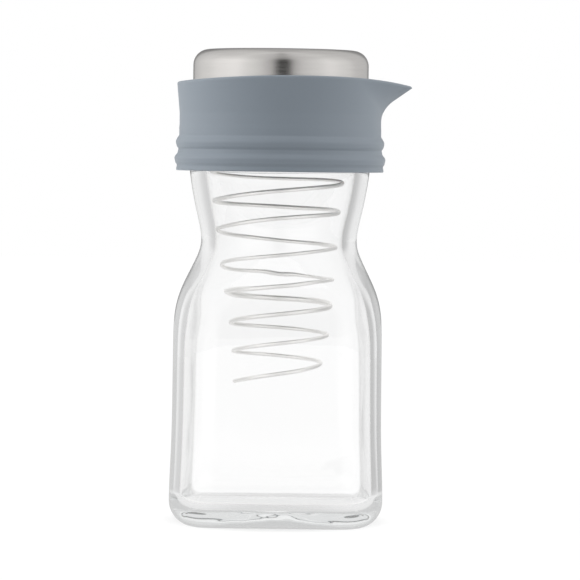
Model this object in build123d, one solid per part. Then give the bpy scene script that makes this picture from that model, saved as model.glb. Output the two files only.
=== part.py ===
from build123d import *
import math
import os

# Salad dressing shaker: a square glass bottle, a soft pouring collar on a threaded insert,
# a steel cap, and a tapered wire coil that hangs in the neck and stirs the dressing.
# Millimetres. +Z is up on the bottle's axis, Z = 0 is the resting plane, the spout points along +X.

# Glass bottle: its overall sizes, then the neck counted inwards and downwards from them
base_width = 77.8
mouth_height = 149.5
neck_setback = 9.5
finish_wall = 2.8
finish_length = 21.3
bead_rise = 3.9
bead_step = 0.4
bead_side_height = 1.2
bead_thickness = 2.9
neck_length = 25.2
waist_narrowing = 0.8
shoulder_drop = 31.0
body_taper = 1.2
body_corner_radius = 15.0
heel_radius = 11.0
body_wall = 3.7
waist_wall = 4.2
bore_length = 28.5
floor_thickness = 7.0
floor_corner_radius = 8.0
punt_radius = 23.0
punt_depth = 2.4
mouth_edge_radius = 0.8

# Collar thread, on the glass and inside the insert
collar_lead = 12.0
collar_starts = 3
collar_ridge_width = 2.2
collar_ridge_height = 1.2
collar_ridge_drop = 14.1
collar_ridge_turn = 220.0
collar_lug_turn = 80.0
collar_thread_clearance = 0.5

# Threaded insert of the collar
insert_wall = 2.1
insert_bead_clearance = 0.6
deck_thickness = 2.0
pour_neck_setback = 1.0
pour_neck_wall = 2.9
pour_neck_length = 13.8
pour_lip_radius = 0.9

# Coil ring and gasket, between the glass mouth and the insert's deck
ring_flange_thickness = 1.0
ring_flange_margin = 0.2
ring_ledge = 2.4
sleeve_clearance = 0.3
sleeve_wall = 1.1
sleeve_length = 10.0
gasket_thickness = 1.5
seat_clearance = 0.1

# Mixing coil
wire_diameter = 1.3
coil_pitch = 11.2
coil_floor_gap = 45.7
coil_narrowing = 8.15
coil_bulge = 0.8
coil_bulge_rise = 3.0
coil_sleeve_clearance = 0.6
coil_start_angle = -170.0

# Cap thread, on the insert's neck and inside the liner
cap_lead = 9.0
cap_starts = 3
cap_ridge_width = 1.6
cap_ridge_height = 1.2
cap_ridge_drop = 8.0
cap_ridge_turn = 200.0
cap_lug_turn = 70.0
cap_thread_clearance = 0.4

# Steel cap, its liner and its seal
liner_wall = 1.8
liner_ceiling = 1.5
liner_recess = 0.4
liner_dome_depth = 1.95
seal_thickness = 2.0
seal_margin = 0.35
seal_seat_width = 4.0
steel_thickness = 0.5
cap_corner_radius = 6.3
cap_floor_clearance = 0.75

# Soft pouring collar, its rises counted from its lower edge
cup_floor_thickness = 2.0
cup_clearance = 1.95
cup_flare = 1.7
cup_depth = 8.35
collar_thickness = 3.1
rim_flare = 0.8
rim_arch_radius = 285.0
hem_length = 2.1
hem_clearance = 0.2
lip_rise = 0.9
groove_rise = 0.7
groove_height = 1.8
lower_rib_rise = 1.6
lower_rib_height = 4.8
valley_rise = 0.35
valley_height = 7.7
upper_rib_rise = 1.2
upper_rib_height = 10.6
wall_start_height = 13.1
moulding_clearance = 0.05

# Spout
spout_height = 16.7
spout_curve_radius = 9.0
spout_slope = 38.0
spout_tip_radius = 1.5
spout_wall = 1.8
spout_root_depth = 0.25

# How far a cutting shape or an embedded foot runs past the surface it meets
overrun = 0.4

# Shapes of the bottle's sections between the shoulder and the waist: height, narrowing and rounding
shoulder_shares = [(0.0, 0.0, 0.0), (0.16, 0.035, 0.05), (0.31, 0.14, 0.20), (0.46, 0.30, 0.41),
                   (0.61, 0.515, 0.63), (0.76, 0.745, 0.84), (0.90, 0.94, 0.97), (1.0, 1.0, 1.0)]
# Shape of the neck between the waist and the bead: height and widening
neck_shares = [(0.14, 0.08), (0.32, 0.29), (0.50, 0.53), (0.70, 0.74), (0.88, 0.91), (1.0, 1.0)]
# Shape of the cavity's neck between the waist and the straight bore: height and widening
throat_shares = [(0.28, 0.22), (0.62, 0.66), (1.0, 1.0)]
# Heights of the spout's sections above its start, as shares of the height of its curve
spout_shares = [0.08, 0.4, 0.75, 1.0, 1.5, 2.1, 2.9]
# Crest width of a thread ridge as a share of its foot
crest_share = 0.5
# Corner radius of a nearly round section as a share of its half width
round_share = 0.985

# Distance between neighbouring ridges of a thread
collar_pitch = collar_lead / collar_starts
cap_pitch = cap_lead / cap_starts

# Heights that follow from the mouth, downwards and upwards
bead_bottom_height = mouth_height - finish_length
waist_height = bead_bottom_height - neck_length
shoulder_height = waist_height - shoulder_drop
bore_bottom_height = mouth_height - bore_length
collar_ridge_start = mouth_height - collar_ridge_drop
insert_bottom_height = bead_bottom_height + bead_thickness + insert_bead_clearance
collar_bottom_height = insert_bottom_height - hem_length
flange_bottom = mouth_height + seat_clearance
flange_top = flange_bottom + ring_flange_thickness
gasket_top = flange_top + gasket_thickness
deck_bottom = gasket_top + seat_clearance
deck_top = deck_bottom + deck_thickness
cup_floor_height = deck_top + moulding_clearance + cup_floor_thickness
rim_height = cup_floor_height + cup_depth
spout_start_height = rim_height - spout_height
pour_neck_top = deck_top + pour_neck_length
cap_ridge_start = pour_neck_top - cap_ridge_drop
cap_bottom_height = cup_floor_height + cap_floor_clearance
seal_bottom = pour_neck_top + seat_clearance
seal_top = seal_bottom + seal_thickness
seal_seat_height = seal_top + seat_clearance
liner_top = seal_seat_height + liner_dome_depth + liner_ceiling
cap_top_height = liner_top + moulding_clearance + steel_thickness
coil_bottom_height = floor_thickness + coil_floor_gap
coil_top_height = flange_bottom - wire_diameter
coil_widest_height = bore_bottom_height + coil_bulge_rise

# Radii that follow from the base's width through the glass finish, inwards and outwards
base_half_width = base_width / 2
shoulder_half_width = base_half_width - body_taper
finish_radius = base_half_width - neck_setback
mouth_bore_radius = finish_radius - finish_wall
bead_radius = finish_radius + bead_rise
waist_radius = finish_radius - waist_narrowing
insert_bore_radius = finish_radius + collar_ridge_height + collar_thread_clearance
insert_radius = insert_bore_radius + insert_wall
pour_neck_radius = finish_radius - pour_neck_setback
pour_bore_radius = pour_neck_radius - pour_neck_wall
sleeve_radius = mouth_bore_radius - sleeve_clearance
sleeve_bore_radius = sleeve_radius - sleeve_wall
ring_bore_radius = sleeve_bore_radius - ring_ledge
coil_top_radius = sleeve_bore_radius - coil_sleeve_clearance - wire_diameter / 2
coil_widest_radius = coil_top_radius + coil_bulge
coil_bottom_radius = coil_top_radius - coil_narrowing
liner_bore_radius = pour_neck_radius + cap_ridge_height + cap_thread_clearance
liner_radius = liner_bore_radius + liner_wall
cap_radius = liner_radius + moulding_clearance + steel_thickness
cup_floor_radius = cap_radius + cup_clearance
cup_rim_radius = cup_floor_radius + cup_flare
collar_wall_radius = cup_floor_radius + collar_thickness
collar_rim_radius = collar_wall_radius + rim_flare
lip_bore_radius = bead_radius + hem_clearance
spout_curve_height = spout_curve_radius * math.cos(math.radians(spout_slope))


def rounded_square(height, half_width, roundness):
    corner = half_width * roundness
    return Pos(0, 0, height) * RectangleRounded(2 * half_width, 2 * half_width, corner)


def ring_of(points):
    """Turns an outline of radius and height round the axis."""
    outline = Polyline(*[(radius, 0, height) for radius, height in points], close=True)
    return revolve(make_face(outline), Axis.Z)


def thread(foot_radius, crest_radius, foot_width, lead, starts, start_height, turn):
    """Swept ridges, one for each start, from a foot sunk in the wall to a narrower crest."""
    outward = math.copysign(overrun, foot_radius - crest_radius)
    crest_width = foot_width * crest_share
    section = [(foot_radius + outward, start_height - foot_width / 2),
               (foot_radius + outward, start_height + foot_width / 2),
               (crest_radius, start_height + crest_width / 2),
               (crest_radius, start_height - crest_width / 2)]
    face = make_face(Polyline(*[(radius, 0, height) for radius, height in section], close=True))
    path = Helix(lead, lead * turn / 360, foot_radius, center=(0, 0, start_height))
    ridge = sweep(face, path, is_frenet=True)
    return [Rot(0, 0, start * 360 / starts) * ridge for start in range(starts)]


def tapered_box(bottom, top, bottom_half_width, top_half_width, top_corner, edge_radius):
    """A square trunk with upright rounded corners and a rounded lower edge."""
    narrowing = bottom_half_width - top_half_width
    angle = math.degrees(math.atan2(narrowing, top - bottom))
    section = RectangleRounded(2 * bottom_half_width, 2 * bottom_half_width, top_corner + narrowing)
    trunk = Pos(0, 0, bottom) * extrude(section, top - bottom, taper=angle)
    lower_edges = trunk.edges().filter_by_position(Axis.Z, bottom, bottom)
    return fillet(lower_edges, edge_radius)


def shoulder_sections(half_width, waist, corner):
    """Sections from the square shoulder to the round waist."""
    sections = []
    for height_share, narrowing, roundness in shoulder_shares:
        height = shoulder_height + (waist_height - shoulder_height) * height_share
        width = half_width - (half_width - waist) * narrowing
        square_corner = corner / half_width
        section_corner = square_corner + (round_share - square_corner) * roundness
        sections.append(rounded_square(height, width, section_corner))
    return sections


def neck_sections(shares, waist, top_height, top_radius):
    sections = []
    for height_share, widening in shares:
        height = waist_height + (top_height - waist_height) * height_share
        sections.append(rounded_square(height, waist + (top_radius - waist) * widening, round_share))
    return sections


def bottle_outside():
    trunk = tapered_box(0, shoulder_height, base_half_width, shoulder_half_width, body_corner_radius,
                        heel_radius)
    sections = shoulder_sections(shoulder_half_width, waist_radius, body_corner_radius)
    sections += neck_sections(neck_shares, waist_radius, bead_bottom_height + overrun,
                              bead_radius - bead_step)
    return trunk + loft(sections)


def bottle_finish():
    """The bead under the collar and the plain tube that carries the thread."""
    bead_top = bead_bottom_height + bead_thickness
    bead = ring_of([(0, bead_bottom_height), (bead_radius, bead_bottom_height),
                    (bead_radius, bead_bottom_height + bead_side_height), (finish_radius, bead_top),
                    (0, bead_top)])
    tube = ring_of([(0, bead_top), (finish_radius, bead_top), (finish_radius, mouth_height),
                    (0, mouth_height)])
    tube = fillet(tube.edges().filter_by_position(Axis.Z, mouth_height, mouth_height), mouth_edge_radius)
    return bead + tube


def bottle_cavity():
    half_width = shoulder_half_width - body_wall
    corner = body_corner_radius - body_wall
    inner_waist = waist_radius - waist_wall
    floor_half_width = half_width + body_taper
    trunk = tapered_box(floor_thickness, shoulder_height, floor_half_width, half_width, corner,
                        floor_corner_radius)
    sections = shoulder_sections(half_width, inner_waist, corner)
    sections += neck_sections(throat_shares, inner_waist, bore_bottom_height, mouth_bore_radius)
    bore = ring_of([(0, bore_bottom_height), (mouth_bore_radius, bore_bottom_height),
                    (mouth_bore_radius, mouth_height + overrun), (0, mouth_height + overrun)])
    return trunk + loft(sections) + bore


def bottle_punt():
    """A shallow dome pressed up into the base, inside the resting ring."""
    dome_radius = (punt_radius ** 2 + punt_depth ** 2) / (2 * punt_depth)
    return Pos(0, 0, punt_depth - dome_radius) * Sphere(dome_radius)


def make_glass_bottle():
    glass = bottle_outside() + bottle_finish()
    for ridge in thread(finish_radius, finish_radius + collar_ridge_height, collar_ridge_width,
                        collar_lead, collar_starts, collar_ridge_start, collar_ridge_turn):
        glass = glass + ridge
    return glass - bottle_cavity() - bottle_punt()


def make_collar_insert():
    """Threaded sleeve over the glass, a deck over the mouth and a neck that takes the cap."""
    sleeve = ring_of([(insert_bore_radius, insert_bottom_height), (insert_radius, insert_bottom_height),
                      (insert_radius, deck_top), (pour_neck_radius, deck_top),
                      (pour_neck_radius, pour_neck_top), (pour_bore_radius, pour_neck_top),
                      (pour_bore_radius, deck_bottom), (insert_bore_radius, deck_bottom)])
    lip = sleeve.edges().filter_by_position(Axis.Z, pour_neck_top, pour_neck_top)
    insert = fillet(lip, pour_lip_radius)
    lug_start = collar_ridge_start - collar_pitch / 2
    for lug in thread(insert_bore_radius, finish_radius + collar_thread_clearance, collar_ridge_width,
                      collar_lead, collar_starts, lug_start, collar_lug_turn):
        insert = insert + lug
    for ridge in thread(pour_neck_radius, pour_neck_radius + cap_ridge_height, cap_ridge_width,
                        cap_lead, cap_starts, cap_ridge_start, cap_ridge_turn):
        insert = insert + ridge
    return insert


def make_coil_ring():
    """A flange that rests on the glass mouth, with a sleeve that holds the coil's top turn."""
    flange_radius = finish_radius - ring_flange_margin
    sleeve_bottom = flange_bottom - sleeve_length
    return ring_of([(ring_bore_radius, flange_bottom), (sleeve_bore_radius, flange_bottom),
                    (sleeve_bore_radius, sleeve_bottom), (sleeve_radius, sleeve_bottom),
                    (sleeve_radius, flange_bottom), (flange_radius, flange_bottom),
                    (flange_radius, flange_top), (ring_bore_radius, flange_top)])


def make_collar_gasket():
    return ring_of([(pour_bore_radius, flange_top), (finish_radius, flange_top),
                    (finish_radius, gasket_top), (pour_bore_radius, gasket_top)])


def make_mixing_coil():
    """Wire that widens upwards in a right-hand helix, then draws in a little to sit in the ring."""
    lower_height = coil_widest_height - coil_bottom_height
    upper_height = coil_top_height - coil_widest_height
    lower_angle = math.degrees(math.atan2(coil_widest_radius - coil_bottom_radius, lower_height))
    upper_angle = math.degrees(math.atan2(coil_top_radius - coil_widest_radius, upper_height))
    lower = Helix(coil_pitch / math.cos(math.radians(lower_angle)), lower_height, coil_bottom_radius,
                  center=(0, 0, coil_bottom_height), cone_angle=lower_angle)
    upper = Helix(coil_pitch / math.cos(math.radians(upper_angle)), upper_height, coil_widest_radius,
                  center=(0, 0, coil_widest_height), cone_angle=upper_angle)
    upper = Rot(0, 0, 360 * lower_height / coil_pitch) * upper
    path = Wire([lower, upper])
    section = Plane(origin=lower @ 0, z_dir=lower % 0) * Circle(wire_diameter / 2)
    return Rot(0, 0, coil_start_angle) * sweep(section, path, is_frenet=True)


def collar_skin():
    """The collar's outside of revolution: lip, two ribs, plain wall and slightly flared rim."""
    bottom = collar_bottom_height
    top = rim_height + 2 * overrun
    lip = (collar_wall_radius + lip_rise, 0, bottom)
    groove = (collar_wall_radius + groove_rise, 0, bottom + groove_height)
    lower_rib = (collar_wall_radius + lower_rib_rise, 0, bottom + lower_rib_height)
    valley = (collar_wall_radius + valley_rise, 0, bottom + valley_height)
    upper_rib = (collar_wall_radius + upper_rib_rise, 0, bottom + upper_rib_height)
    wall_start = (collar_wall_radius, 0, bottom + wall_start_height)
    wall_end = (collar_wall_radius, 0, spout_start_height)
    rim = (collar_rim_radius, 0, top)
    profile = Wire([
        Line((0, 0, bottom), lip),
        Line(lip, groove),
        ThreePointArc(groove, lower_rib, valley),
        ThreePointArc(valley, upper_rib, wall_start),
        Line(wall_start, wall_end),
        Line(wall_end, rim),
        Line(rim, (0, 0, top)),
        Line((0, 0, top), (0, 0, bottom)),
    ])
    return revolve(make_face(profile), Axis.Z)


def spout_reach(rise):
    """How far the spout's underside has left the wall at a height above its start."""
    slope = math.radians(spout_slope)
    if rise < spout_curve_height:
        return spout_curve_radius - math.sqrt(spout_curve_radius ** 2 - rise ** 2)
    curve_reach = spout_curve_radius * (1 - math.sin(slope))
    return curve_reach + (rise - spout_curve_height) / math.tan(slope)


def spout_section(height, wall_radius, tip_radius, tip_reach):
    """Two straight sides, tangent to the wall's circle and to the small circle of the tip."""
    centre = tip_reach - tip_radius
    angle = math.acos((wall_radius - tip_radius) / centre)
    wall_x = wall_radius * math.cos(angle)
    wall_y = wall_radius * math.sin(angle)
    tip_x = centre + tip_radius * math.cos(angle)
    tip_y = tip_radius * math.sin(angle)
    outline = Wire([
        Line((0, 0, height), (wall_x, -wall_y, height)),
        Line((wall_x, -wall_y, height), (tip_x, -tip_y, height)),
        ThreePointArc((tip_x, -tip_y, height), (tip_reach, 0, height), (tip_x, tip_y, height)),
        Line((tip_x, tip_y, height), (wall_x, wall_y, height)),
        Line((wall_x, wall_y, height), (0, 0, height)),
    ])
    return make_face(outline)


def spout_form(inset, depth, tip_radius):
    """The spout's solid form: the outside with no inset, or the channel inside its walls."""
    sections = []
    for share in spout_shares:
        rise = spout_curve_height * share
        flare = (collar_rim_radius - collar_wall_radius) * rise / (rim_height - spout_start_height)
        wall_radius = collar_wall_radius + flare
        root_radius = wall_radius - spout_root_depth
        reach = wall_radius + spout_reach(rise)
        sections.append(spout_section(spout_start_height + rise + depth, root_radius - inset, tip_radius,
                                      reach - inset))
    return loft(sections)


def make_pour_collar():
    spout = spout_form(0, 0, spout_tip_radius)
    outside = collar_skin() + spout
    arch = Rot(90, 0, 0) * Cylinder(rim_arch_radius, 4 * collar_rim_radius)
    outside = outside & (Pos(0, 0, rim_height - rim_arch_radius) * arch)
    top = rim_height + 3 * overrun
    bottom = collar_bottom_height - overrun
    pocket_radius = insert_radius + moulding_clearance
    pocket_bottom = insert_bottom_height - moulding_clearance
    pocket_top = deck_top + moulding_clearance
    hole_radius = pour_neck_radius + moulding_clearance
    lower_void = ring_of([(0, bottom), (lip_bore_radius, bottom), (lip_bore_radius, pocket_bottom),
                          (pocket_radius, pocket_bottom), (pocket_radius, pocket_top), (0, pocket_top)])
    neck_hole = ring_of([(0, deck_top), (hole_radius, deck_top), (hole_radius, top), (0, top)])
    cup = ring_of([(0, cup_floor_height), (cup_floor_radius, cup_floor_height), (cup_rim_radius, top),
                   (0, top)])
    below_floor = ring_of([(0, collar_bottom_height), (2 * collar_rim_radius, collar_bottom_height),
                           (2 * collar_rim_radius, cup_floor_height), (0, cup_floor_height)])
    channel = spout_form(spout_wall, spout_wall, spout_tip_radius / 2) - below_floor
    return outside - lower_void - neck_hole - cup - channel


def rounded_cup(radius, bottom, top, corner):
    cup = ring_of([(0, bottom), (radius, bottom), (radius, top), (0, top)])
    return fillet(cup.edges().filter_by_position(Axis.Z, top, top), corner)


def make_cap_shell():
    outside = rounded_cup(cap_radius, cap_bottom_height, cap_top_height, cap_corner_radius)
    inside = rounded_cup(cap_radius - steel_thickness, cap_bottom_height - overrun,
                         cap_top_height - steel_thickness, cap_corner_radius - steel_thickness)
    return outside - inside


def make_cap_liner():
    """Plastic liner inside the steel shell, with a step for the seal and three thread lugs."""
    liner_bottom = cap_bottom_height + liner_recess
    corner = cap_corner_radius - steel_thickness - moulding_clearance
    outside = rounded_cup(liner_radius, liner_bottom, liner_top, corner)
    hollow = ring_of([(0, liner_bottom - overrun), (liner_bore_radius, liner_bottom - overrun),
                      (liner_bore_radius, seal_seat_height),
                      (liner_bore_radius - seal_seat_width, seal_seat_height),
                      (liner_bore_radius - seal_seat_width, liner_top - liner_ceiling),
                      (0, liner_top - liner_ceiling)])
    liner = outside - hollow
    lug_start = cap_ridge_start - cap_pitch / 2
    for lug in thread(liner_bore_radius, pour_neck_radius + cap_thread_clearance, cap_ridge_width,
                      cap_lead, cap_starts, lug_start, cap_lug_turn):
        liner = liner + lug
    return liner


def make_cap_seal():
    radius = liner_bore_radius - seal_margin
    return ring_of([(0, seal_bottom), (radius, seal_bottom), (radius, seal_top), (0, seal_top)])


pieces = {
    "glass_bottle": make_glass_bottle,
    "collar_insert": make_collar_insert,
    "pour_collar": make_pour_collar,
    "coil_ring": make_coil_ring,
    "collar_gasket": make_collar_gasket,
    "mixing_coil": make_mixing_coil,
    "cap_shell": make_cap_shell,
    "cap_liner": make_cap_liner,
    "cap_seal": make_cap_seal,
}

os.makedirs("parts", exist_ok=True)
for node, make in pieces.items():
    export_step(make(), "parts/" + node + ".step")
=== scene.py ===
import bpy
import math
from mathutils import Matrix, Vector


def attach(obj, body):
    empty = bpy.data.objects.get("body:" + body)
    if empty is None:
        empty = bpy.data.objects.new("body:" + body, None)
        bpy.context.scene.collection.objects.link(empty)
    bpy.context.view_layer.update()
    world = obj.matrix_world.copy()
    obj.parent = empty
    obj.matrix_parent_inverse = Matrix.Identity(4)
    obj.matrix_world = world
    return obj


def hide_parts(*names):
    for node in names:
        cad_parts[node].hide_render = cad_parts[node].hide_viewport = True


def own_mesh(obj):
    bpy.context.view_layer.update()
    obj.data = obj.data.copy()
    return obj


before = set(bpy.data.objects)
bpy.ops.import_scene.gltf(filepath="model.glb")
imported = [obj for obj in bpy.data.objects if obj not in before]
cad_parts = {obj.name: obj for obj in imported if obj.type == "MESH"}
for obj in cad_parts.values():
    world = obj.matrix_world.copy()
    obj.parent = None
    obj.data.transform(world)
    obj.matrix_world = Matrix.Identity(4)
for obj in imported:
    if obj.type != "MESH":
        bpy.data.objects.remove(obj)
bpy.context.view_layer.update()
mm = 0.001
print("frame loaded")

# the photograph's frame, and where the bottle stands in it
shot = {
    "pixels": 580,              # width and height of the picture
    "mmPerPixel": 0.37,         # at the bottle's axis
    "floorRow": 521,            # row of the resting plane at the axis
    "axisColumn": 278.3,        # column of the axis at the middle row
    "distance": 1258,           # mm, camera to axis
    "eyeHeight": 137,           # mm above the resting plane
    "rollDegrees": 0.72,        # the picture leans a little clockwise
}


def makeCamera():
    middle = shot["pixels"] / 2
    aimX = (middle - shot["axisColumn"]) * shot["mmPerPixel"] * mm
    aimZ = (shot["floorRow"] - middle) * shot["mmPerPixel"] * mm
    place = Vector((aimX, -shot["distance"] * mm, shot["eyeHeight"] * mm))
    aim = Vector((aimX, 0, aimZ))
    reach = (aim - place).length
    bpy.ops.object.camera_add(location=place)
    camera = bpy.context.object
    camera.name = "photoCamera"
    turn = (aim - place).to_track_quat("-Z", "Y").to_matrix().to_4x4()
    roll = Matrix.Rotation(math.radians(shot["rollDegrees"]), 4, "Z")
    camera.matrix_world = Matrix.Translation(place) @ turn @ roll
    halfWidth = middle * shot["mmPerPixel"] * mm
    camera.data.sensor_width = 36
    camera.data.lens = camera.data.sensor_width / 2 * reach / halfWidth
    camera.data.clip_start = 0.01
    camera.data.clip_end = 50
    bpy.context.scene.camera = camera


makeCamera()
print("camera placed")

# light: a white room. Each ring gives levels round the room, by degrees from the front, positive to the right
room = {
    "lightRing": [(-180, 0.30), (-140, 0.40), (-112, 3.40), (-88, 4.30), (-60, 1.90), (-35, 0.25), (-10, 0.03),
                  (15, 0.03), (40, 0.10), (65, 1.50), (90, 3.00), (115, 1.80), (150, 0.60), (180, 0.30)],
    "lightAbove": 1.15,
    "shineRing": [(-180, 0.19), (-164, 0.25), (-150, 0.64), (-117, 0.82), (-85, 1.01), (-62, 1.09), (-40, 0.89),
                  (-29, 0.78), (-14, 0.58), (-1, 0.02), (8.5, 0.02), (19, 0.55), (30, 0.73), (45, 0.82),
                  (68, 0.97), (95, 0.84), (120, 0.66), (150, 0.60), (164, 0.28), (180, 0.19)],
    "shineAbove": 0.64,
    "ringAbove": 0.35,          # share of the shine ring that still shows straight above
    "aboveBand": (0.30, 0.80),  # upward part of a direction, over which a ring gives way to the level above
    "insideRing": [(-180, 1.0), (-158, 0.95), (-130, 0.66), (-95, 0.62), (-50, 1.15), (-14, 1.10), (-2, 0.66),
                   (8, 0.66), (20, 1.10), (50, 1.10), (95, 0.50), (130, 0.52), (158, 0.92), (180, 1.0)],
    "insideAbove": 0.92,        # above and below, for light that has bounced inside the glass
    "steepBand": (0.25, 0.75),  # the same as aboveBand, upwards and downwards
}


def newNode(tree, kind, **values):
    node = tree.nodes.new(kind)
    for name, value in values.items():
        setattr(node, name, value)
    return node


def feed(tree, socket, value):
    # a socket takes a number or another node's output
    if isinstance(value, (int, float)):
        socket.default_value = value
    else:
        tree.links.new(value, socket)


def mathNode(tree, operation, first, second=None):
    node = newNode(tree, "ShaderNodeMath", operation=operation)
    feed(tree, node.inputs[0], first)
    if second is not None:
        feed(tree, node.inputs[1], second)
    return node.outputs[0]


def mapNode(tree, value, low, high):
    node = newNode(tree, "ShaderNodeMapRange", interpolation_type="SMOOTHSTEP")
    node.inputs["From Min"].default_value = low
    node.inputs["From Max"].default_value = high
    tree.links.new(value, node.inputs["Value"])
    return node.outputs["Result"]


def blendNode(tree, factor, first, second):
    node = newNode(tree, "ShaderNodeMix", data_type="FLOAT")
    for index, value in ((0, factor), (2, first), (3, second)):
        feed(tree, node.inputs[index], value)
    return node.outputs[0]


def ringNode(tree, share, levels):
    ramp = newNode(tree, "ShaderNodeValToRGB")
    ramp.color_ramp.interpolation = "EASE"
    elements = ramp.color_ramp.elements
    while len(elements) < len(levels):
        elements.new(0.5)
    for element, (degrees, level) in zip(elements, levels):
        element.position = 0.5 + degrees / 360
        element.color = (level, level, level, 1)
    tree.links.new(share, ramp.inputs[0])
    return ramp.outputs["Color"]


def makeRoomLevels():
    # what a direction holds: plain light, what shiny surfaces show, and what glass shows after a bounce
    tree = bpy.data.node_groups.new("roomLevels", "ShaderNodeTree")
    tree.interface.new_socket("Direction", in_out="INPUT", socket_type="NodeSocketVector")
    for name in ("Light", "Shine", "Inside"):
        tree.interface.new_socket(name, in_out="OUTPUT", socket_type="NodeSocketFloat")
    entry = newNode(tree, "NodeGroupInput")
    leave = newNode(tree, "NodeGroupOutput")
    unit = newNode(tree, "ShaderNodeVectorMath", operation="NORMALIZE")
    tree.links.new(entry.outputs["Direction"], unit.inputs[0])
    axes = newNode(tree, "ShaderNodeSeparateXYZ")
    tree.links.new(unit.outputs[0], axes.inputs[0])
    azimuth = mathNode(tree, "ARCTAN2", axes.outputs["X"], mathNode(tree, "MULTIPLY", axes.outputs["Y"], -1))
    share = mathNode(tree, "ADD", mathNode(tree, "DIVIDE", azimuth, 2 * math.pi), 0.5)
    above = mapNode(tree, axes.outputs["Z"], *room["aboveBand"])
    steep = mapNode(tree, mathNode(tree, "ABSOLUTE", axes.outputs["Z"]), *room["steepBand"])
    light = blendNode(tree, above, ringNode(tree, share, room["lightRing"]), room["lightAbove"])
    tree.links.new(light, leave.inputs["Light"])
    shineShare = mathNode(tree, "MULTIPLY", above, 1 - room["ringAbove"])
    shine = blendNode(tree, shineShare, ringNode(tree, share, room["shineRing"]), room["shineAbove"])
    tree.links.new(shine, leave.inputs["Shine"])
    inside = blendNode(tree, steep, ringNode(tree, share, room["insideRing"]), room["insideAbove"])
    tree.links.new(inside, leave.inputs["Inside"])
    return tree


def roomLevelsNode(tree, direction):
    node = newNode(tree, "ShaderNodeGroup")
    node.node_tree = roomLevels
    tree.links.new(direction, node.inputs["Direction"])
    return node


def bouncedRay(tree, rays):
    both = mathNode(tree, "MULTIPLY", rays.outputs["Glossy Depth"], rays.outputs["Transmission Depth"])
    return mathNode(tree, "MINIMUM", both, 1)


def straightRay(tree, rays):
    # a view of the room or the floor, also through glass
    return mathNode(tree, "MAXIMUM", rays.outputs["Is Camera Ray"], rays.outputs["Is Transmission Ray"])


def makeRoomLight():
    world = bpy.data.worlds.new("softRoom")
    bpy.context.scene.world = world
    world.use_nodes = True
    tree = world.node_tree
    tree.nodes.clear()
    coords = newNode(tree, "ShaderNodeTexCoord")
    levels = roomLevelsNode(tree, coords.outputs["Generated"])
    rays = newNode(tree, "ShaderNodeLightPath")
    level = blendNode(tree, rays.outputs["Is Glossy Ray"], levels.outputs["Light"], levels.outputs["Shine"])
    level = blendNode(tree, straightRay(tree, rays), level, 1.0)     # straight views are white
    level = blendNode(tree, bouncedRay(tree, rays), level, levels.outputs["Inside"])
    backdrop = newNode(tree, "ShaderNodeBackground")
    backdrop.inputs["Color"].default_value = (1, 1, 1, 1)
    tree.links.new(level, backdrop.inputs["Strength"])
    output = newNode(tree, "ShaderNodeOutputWorld")
    tree.links.new(backdrop.outputs[0], output.inputs["Surface"])


floor = {
    "size": 6.0,                # metres
    "white": 1.08,
    "paint": 0.6,               # how much plain light it gives back
    "shine": 0.80,              # how bright it is in a reflection
    "middle": 0.08,             # metres, height that its directions are taken from
    "shade": 0.12,              # share of the floor's own shading that stays in view
    "under": 0.82,              # painted shadow: how bright it is under the bottle
    "paintedShadowReach": (0.030, 0.046),   # metres from the axis, over which the painted shadow fades out
}


def makeFloor():
    bpy.ops.object.select_all(action="DESELECT")
    bpy.ops.mesh.primitive_plane_add(size=floor["size"], location=(0, 0, 0))
    plane = bpy.context.object
    plane.name = "studioFloor"
    bpy.ops.object.transform_apply(location=True, rotation=True, scale=True)
    material = bpy.data.materials.new("studioFloorWhite")
    material.use_nodes = True
    tree = material.node_tree
    tree.nodes.clear()
    link = tree.links.new
    paint = newNode(tree, "ShaderNodeBsdfDiffuse")
    paint.inputs["Color"].default_value = (*[floor["paint"]] * 3, 1)
    coords = newNode(tree, "ShaderNodeTexCoord")
    lower = newNode(tree, "ShaderNodeVectorMath", operation="SUBTRACT")
    lower.inputs[1].default_value = (0, 0, floor["middle"])
    link(coords.outputs["Object"], lower.inputs[0])
    levels = roomLevelsNode(tree, lower.outputs[0])
    rays = newNode(tree, "ShaderNodeLightPath")
    straight = straightRay(tree, rays)
    level = blendNode(tree, straight, floor["shine"], floor["white"])
    level = blendNode(tree, bouncedRay(tree, rays), level, levels.outputs["Inside"])
    # painted shadow: the floor's glow is darker under the bottle, fading out between the two reaches
    away = newNode(tree, "ShaderNodeVectorMath", operation="LENGTH")
    link(coords.outputs["Object"], away.inputs[0])
    clearOfPaintedShadow = mapNode(tree, away.outputs["Value"], *floor["paintedShadowReach"])
    level = mathNode(tree, "MULTIPLY", level, blendNode(tree, clearOfPaintedShadow, floor["under"], 1.0))
    glow = newNode(tree, "ShaderNodeEmission")
    glow.inputs["Color"].default_value = (1, 1, 1, 1)
    link(level, glow.inputs["Strength"])
    seen = mathNode(tree, "MAXIMUM", straight, rays.outputs["Is Glossy Ray"])
    mix = newNode(tree, "ShaderNodeMixShader")
    link(mathNode(tree, "MULTIPLY", seen, 1 - floor["shade"]), mix.inputs[0])
    link(paint.outputs[0], mix.inputs[1])
    link(glow.outputs[0], mix.inputs[2])
    output = newNode(tree, "ShaderNodeOutputMaterial")
    link(mix.outputs[0], output.inputs["Surface"])
    plane.data.materials.append(material)


roomLevels = makeRoomLevels()
makeRoomLight()
makeFloor()
bpy.context.scene.view_settings.view_transform = "Standard"
print("room and floor ready")


def startMaterial(name):
    material = bpy.data.materials.new(name)
    material.use_nodes = True
    tree = material.node_tree
    return material, tree, tree.nodes["Principled BSDF"]


# cloudy tone and finer grain: their noise detail, and their shares in the tone
grainMix = {
    "cloudDetail": 2,
    "grainDetail": 3,
    "cloudShare": 0.7,
    "grainShare": 0.5,
}


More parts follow.
